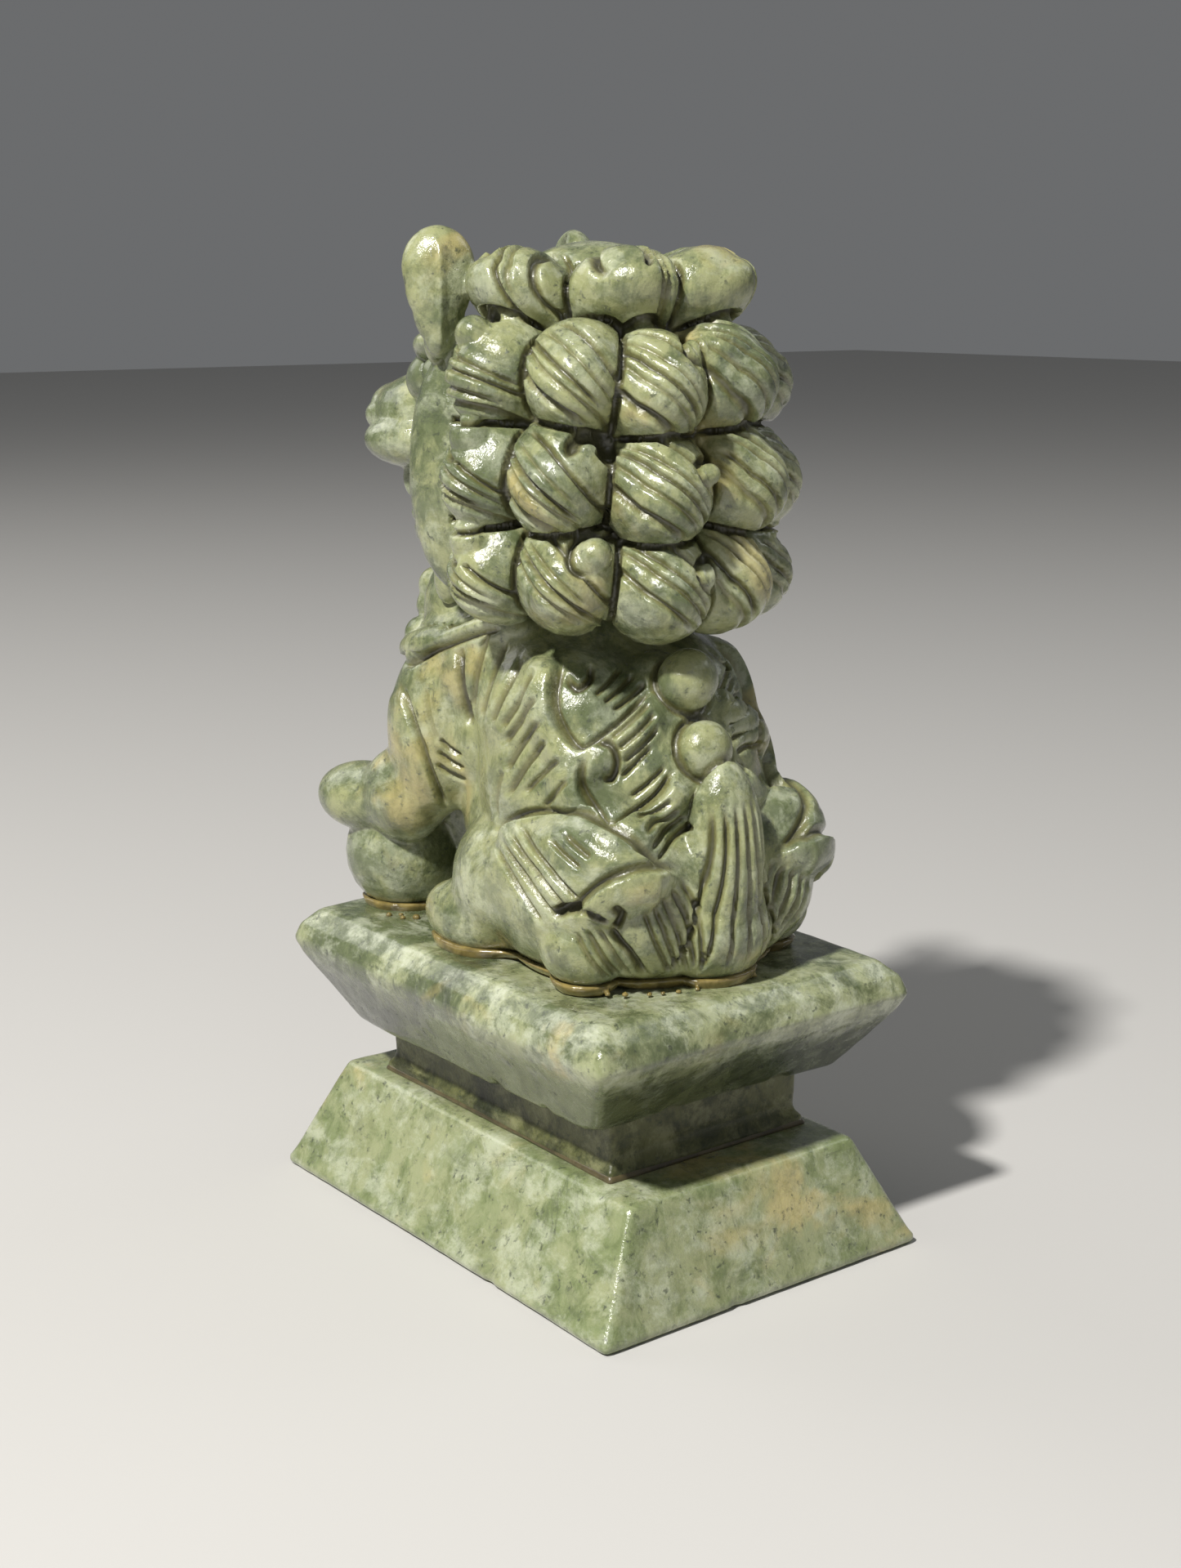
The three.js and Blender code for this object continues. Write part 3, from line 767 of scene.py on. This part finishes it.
class Coat:
    """Cuts made square on to a side of the body, with places across and up in millimetres."""

    def __init__(self, mesh, azimuth, mirrored=False, reach=(-60, 60)):
        self.mesh = mesh
        points, self.normals = points_of(mesh), normals_of(mesh)
        flip = np.array((-1, 1, 1)) if mirrored else np.ones(3)
        out, across = (np.array(v) for v in heading(azimuth))
        self.u, self.v = (points * flip) @ across, points[:, 2]
        facing = (self.normals * flip) @ out
        depth = (points * flip) @ out
        self.mask = smooth_step(facing, 0.02, 0.3) * (depth > reach[0]) * (depth < reach[1])
        self.rise = np.zeros(len(points))
        self.cuts = np.zeros(len(points))

    def line(self, points):
        """Distance to a smooth line through the points, the share of its length, and the side."""
        path = smooth_line(points, 1.2)
        low, high = path.min(axis=0) - 8, path.max(axis=0) + 8
        near = np.nonzero((self.u > low[0]) & (self.u < high[0]) & (self.v > low[1]) & (self.v < high[1])
                          & (self.mask > 0))[0]
        place = np.stack([self.u[near], self.v[near]], axis=1)
        best = np.full(len(near), 99.0)
        share, side = np.zeros(len(near)), np.ones(len(near))
        for i in range(len(path) - 1):
            a, b = path[i], path[i + 1]
            run = b - a
            t = np.clip((place - a) @ run / (run @ run), 0, 1)
            gap = place - a - t[:, None] * run
            away = np.hypot(gap[:, 0], gap[:, 1])
            closer = away < best
            share = np.where(closer, (i + t) / (len(path) - 1), share)
            side = np.where(closer, np.sign(run[0] * gap[:, 1] - run[1] * gap[:, 0]), side)
            best = np.minimum(best, away)
        return near, best, share, side

    def cut(self, points, width=1.1, depth=0.85):
        """A groove along the line, running out at both ends."""
        near, away, share, _ = self.line(points)
        taper = smooth_step(share, -0.02, 0.16) * (1 - smooth_step(share, 0.84, 1.02))
        self.cuts[near] = np.maximum(self.cuts[near], groove(away, width) * depth * taper)

    def comb(self, first, last, count, width=1.1, depth=0.85):
        """That many grooves, from the first line over to the last."""
        for t in np.linspace(0, 1, count):
            self.cut([np.array(a) * (1 - t) + np.array(b) * t for a, b in zip(first, last)], width, depth)

    def ledge(self, points, height=0.9, reach=5.0, width=1.2):
        """A step along the line: the stone on its left stands proud and dies away over the reach."""
        near, away, share, side = self.line(points)
        taper = smooth_step(share, 0.0, 0.12) * (1 - smooth_step(share, 0.88, 1.0))
        proud = smooth_step(away * side, -0.35, 0.45) * (1 - smooth_step(away, reach * 0.3, reach))
        self.rise[near] = np.maximum(self.rise[near], proud * height * taper)
        self.cuts[near] = np.maximum(self.cuts[near], groove(away * side + 0.45, width) * 0.9 * taper)

    def done(self):
        """Moves the stone and returns how deep the cuts are."""
        cuts = self.cuts * self.mask
        put(self.mesh, points_of(self.mesh) + self.normals * (self.rise * self.mask - cuts)[:, None])
        return cuts


def ringed(mesh, centre, half):
    """A fine groove where a bead stands on the stone."""
    points, normals = points_of(mesh), normals_of(mesh)
    ring = groove(np.linalg.norm((points - np.array(centre)) / np.array(half), axis=1) - 1.09, 0.26)
    put(mesh, points - normals * (ring * 0.8)[:, None])
    return ring


body_cuts = np.maximum(ringed(body_mesh, *beads[0]), ringed(body_mesh, *beads[1]))
for mirrored in (False, True):
    coat = Coat(body_mesh, 142, mirrored, reach=(-8, 60))
    # shoulder: the arm's long lock, the elbow tuft, and a fan rising from the armpit
    coat.ledge([(-21.5, 62), (-23.5, 68), (-25.5, 74), (-28, 81)], 0.6, 7)
    coat.cut([(-27, 80), (-26, 76.5), (-23.5, 71)], depth=0.6)
    coat.cut([(-24, 82), (-23.5, 77.5), (-22, 73)], 1.3, 0.5)
    coat.cut([(-18.5, 88), (-18.5, 83), (-17, 76)], 1.7, 1.1)
    coat.comb([(-22, 74), (-20.5, 72.5), (-18.5, 71.5)], [(-22.5, 70), (-20.5, 68.5), (-18, 67.5)], 3)
    coat.comb([(-14, 92), (-16, 85), (-17, 78.5)], [(-6.5, 86.5), (-10, 82), (-12.5, 78)], 4, 1.3, 0.85)
    coat.comb([(-6, 83.5), (-9, 80.5), (-12, 76)], [(-4.5, 78), (-8, 75), (-11.5, 69)], 3, 1.3, 0.9)
    coat.comb([(-3, 75.5), (-6, 73.5), (-9, 70)], [(-2, 73), (-4, 71), (-6.5, 68.5)], 2)
    coat.cut([(-12, 73), (-13, 69), (-13, 65)], depth=0.6)
    # the collar's lower edge, standing off the shoulder
    coat.ledge([(-28.5, 83.5), (-25, 85.6), (-20.5, 88.2), (-16, 90.5), (-12, 92)], 1.1, 4.5, 1.2)
    # two comma locks down the back, each a raised drop with a swirl at its head
    coat.ledge([(9.5, 84.5), (6.5, 81.5), (2.5, 78.5), (-1, 76.8), (-4, 80.5), (-4.7, 84.5), (-3.4, 88.5)],
               2.0, 5.5, 1.4)
    coat.cut([(-3, 86.6), (-1.4, 85), (0.6, 86.4), (0.2, 88)], 1.5, 1.2)
    coat.ledge([(12.5, 74.5), (10, 71), (6.5, 68.5), (3, 67.5), (-0.4, 71), (-0.8, 74), (0.6, 77)],
               2.0, 5.5, 1.4)
    coat.cut([(1, 77.6), (3.2, 77.4), (4.2, 75.6), (3.4, 73.4), (2, 73.6)], 1.5, 1.2)
    # haunch: a strong edge over the thigh, long combed grooves below it
    coat.ledge([(13, 60.5), (7, 64.5), (0.5, 67.3), (-5.5, 68), (-10, 66), (-13.5, 62)], 1.5, 6, 1.4)
    coat.comb([(-13, 62.5), (-9.5, 58), (-6, 53.5)], [(-8.5, 65.8), (-4.5, 61.5), (-0.6, 58)], 4, 1.2, 0.9)
    coat.comb([(-4.5, 65.3), (-0.5, 62.8)], [(-2.5, 66), (1, 64)], 2)
    if not mirrored:
        coat.comb([(1, 84), (3, 85.6), (5, 87.2)], [(3.5, 82), (6, 83.5), (8.2, 85.4)], 3)
        coat.comb([(3, 77.8), (6, 80), (8.8, 82.4)], [(4.8, 75.4), (7.5, 77.5), (9.8, 79.6)], 3)
        coat.comb([(4.4, 73.4), (6.8, 75.6), (9, 77.6)], [(5.8, 70.8), (8.5, 72.8), (11, 75)], 2)
        coat.comb([(6.2, 67.2), (9, 69), (11.2, 70.6)], [(9.6, 63.6), (12, 65.4), (14.6, 67)], 4)
        coat.comb([(18.8, 80.5), (22.5, 81.5), (26, 80.5)], [(21, 75), (23, 75.4), (26, 74)], 4)
        coat.comb([(18.5, 82), (21.5, 86.5)], [(21.5, 81.8), (24, 86)], 3)
    # tail: the curl that wraps round the haunch, its swirl and dark slit, and the small lobe under it
    coat.ledge([(11, 62), (7, 62.5), (3, 61.4), (0, 58.8), (-1.4, 56.6)], 1.8, 7, 1.6)
    coat.cut([(3.4, 58.8), (4.8, 57), (3.8, 54.6)], 1.7, 1.4)
    coat.cut([(-5, 55), (-3.4, 56.4), (-1, 57.2), (1.6, 56.8), (2.6, 55.4)], 2.2, 2.2)
    coat.cut([(3, 55), (4.4, 52.8), (6.2, 50.4), (8.2, 46)], 1.6, 1.3)
    coat.comb([(-1.6, 53.6), (0.4, 50), (3.2, 46)], [(1.2, 54.8), (3.4, 51), (5.8, 46.4)], 3, 1.2, 0.7)
    coat.comb([(7.6, 57.4), (9.6, 52), (11.6, 46)], [(12.8, 60.5), (15.4, 55), (16, 47)], 5, 1.1, 0.9)
    body_cuts = np.maximum(body_cuts, coat.done())
# the tuft's long grooves, and the toes of the hind paws, the raised forepaw and the standing one
tail = Coat(body_mesh, 180, reach=(18, 60))
tail.comb([(-3.8, 70.5), (-5.2, 60), (-9.5, 46)], [(3.8, 70.5), (5.2, 60), (9.5, 46)], 6, 1.15, 1.0)
body_cuts = np.maximum(body_cuts, tail.done())
for mirrored in (False, True):
    toes = Coat(body_mesh, 0, mirrored, reach=(2, 20))
    toes.comb([(16.2, 52), (16, 45)], [(20, 51.5), (20.3, 45)], 2, 1.2, 0.9)
    body_cuts = np.maximum(body_cuts, toes.done())
paw = Coat(body_mesh, 0, reach=(33, 60))
paw.comb([(16.5, 65.5), (17, 58.5)], [(20.6, 65), (21.6, 58.5)], 2, 1.3, 1.0)
paw.comb([(-17.2, 53), (-17.4, 45)], [(-12.8, 53), (-12.6, 45)], 2, 1.3, 1.0)
body_cuts = np.maximum(body_cuts, paw.done())
store(body_mesh, body_cuts)
contact = body_mesh.copy()
finished("lion_body", thinned(body_mesh), lion_stone, ("lion_figure",))


# ---- Glue -----------------------------------------------------------------------------------------
# Clear amber resin: squeezed out as a thin skirt where the lion meets its slab, with small bubbles
# caught in it, and as a brown line round the foot of the waist.
def resin(name, colour, roughness):
    f = Finish(name)
    thick = f.noise(300, 4, 0.6, 0.3)
    f.set(Base_Color=f.mix(f.step(thick, 0.35, 0.7), colour, tuple(c * 0.45 for c in colour[:3]) + (1,)))
    f.set(Roughness=roughness + thick * 0.15)
    f.set(Normal=f.bump(f.noise(700, 3, 0.6, 0.0), 0.3, 0.0004))
    f.set(IOR=1.5, Coat_Weight=0.6, Coat_Roughness=0.04)
    return f.material


amber = resin("amber_glue", (0.26, 0.2, 0.065, 1), 0.06)
brown = resin("brown_glue", (0.1, 0.08, 0.035, 1), 0.3)
slice_height = 1.3  # of the stone that the skirt follows
skirt = Lump()
skirt.bm.from_mesh(contact)
bpy.data.meshes.remove(contact)
bmesh.ops.bisect_plane(skirt.bm, geom=[*skirt.bm.verts, *skirt.bm.edges, *skirt.bm.faces],
                       plane_co=(0, 0, sole + slice_height), plane_no=(0, 0, 1), clear_outer=True)
bmesh.ops.holes_fill(skirt.bm, edges=[edge for edge in skirt.bm.edges if edge.is_boundary], sides=0)
skirt.bm.normal_update()
for vert in skirt.bm.verts:
    level_normal = Vector((vert.normal.x, vert.normal.y, 0))
    rise = min(1, max(0, (vert.co.z - sole) / slice_height))
    vert.co += level_normal * (1.0 - 0.95 * rise)
    vert.co.z = slab_top - 0.4 + 1.9 * rise
for x, y, radius in ((17.5, -21.5, 0.7), (19.3, -22.6, 0.55), (20.2, -25.2, 0.6), (18.6, -24.2, 0.5),
                     (17, 26.6, 0.5), (15.2, 28.2, 0.55), (12.4, 30.2, 0.5), (10.6, 31, 0.45),
                     (8.4, 31.8, 0.5), (5.6, 32.6, 0.45), (2.6, 33, 0.5), (-1, 33.4, 0.45), (-5, 33, 0.4)):
    skirt.egg((radius, radius, radius * 0.8), (x * 0.98, y * 0.98, slab_top + 0.3))
skirt_mesh = skinned(skirt.bm, "skirt", 0.28, 3)
flat = points_of(skirt_mesh)
flat[:, 2] = np.maximum(flat[:, 2], slab_top - 0.6)
put(skirt_mesh, flat)
finished("lion_glue", thinned(skirt_mesh), amber, ("ball_glue", "paw_glue", "haunch_glue"))

half_x, half_y, bottom, top = half_sizes("waist_block")
seam = block([
    (bottom - 1.1, half_x + 0.35, half_y + 0.35),
    (bottom - 0.6, half_x + 0.25, half_y + 0.25),
    (bottom + 0.1, half_x - 0.2, half_y - 0.2),
], 0.2)
seam_mesh = hand_worked(skinned(seam, "seam", 0.35, 2), 0.5, [], 0.1)
finished("waist_glue", seam_mesh, brown, ("foot_glue", "cap_glue"))
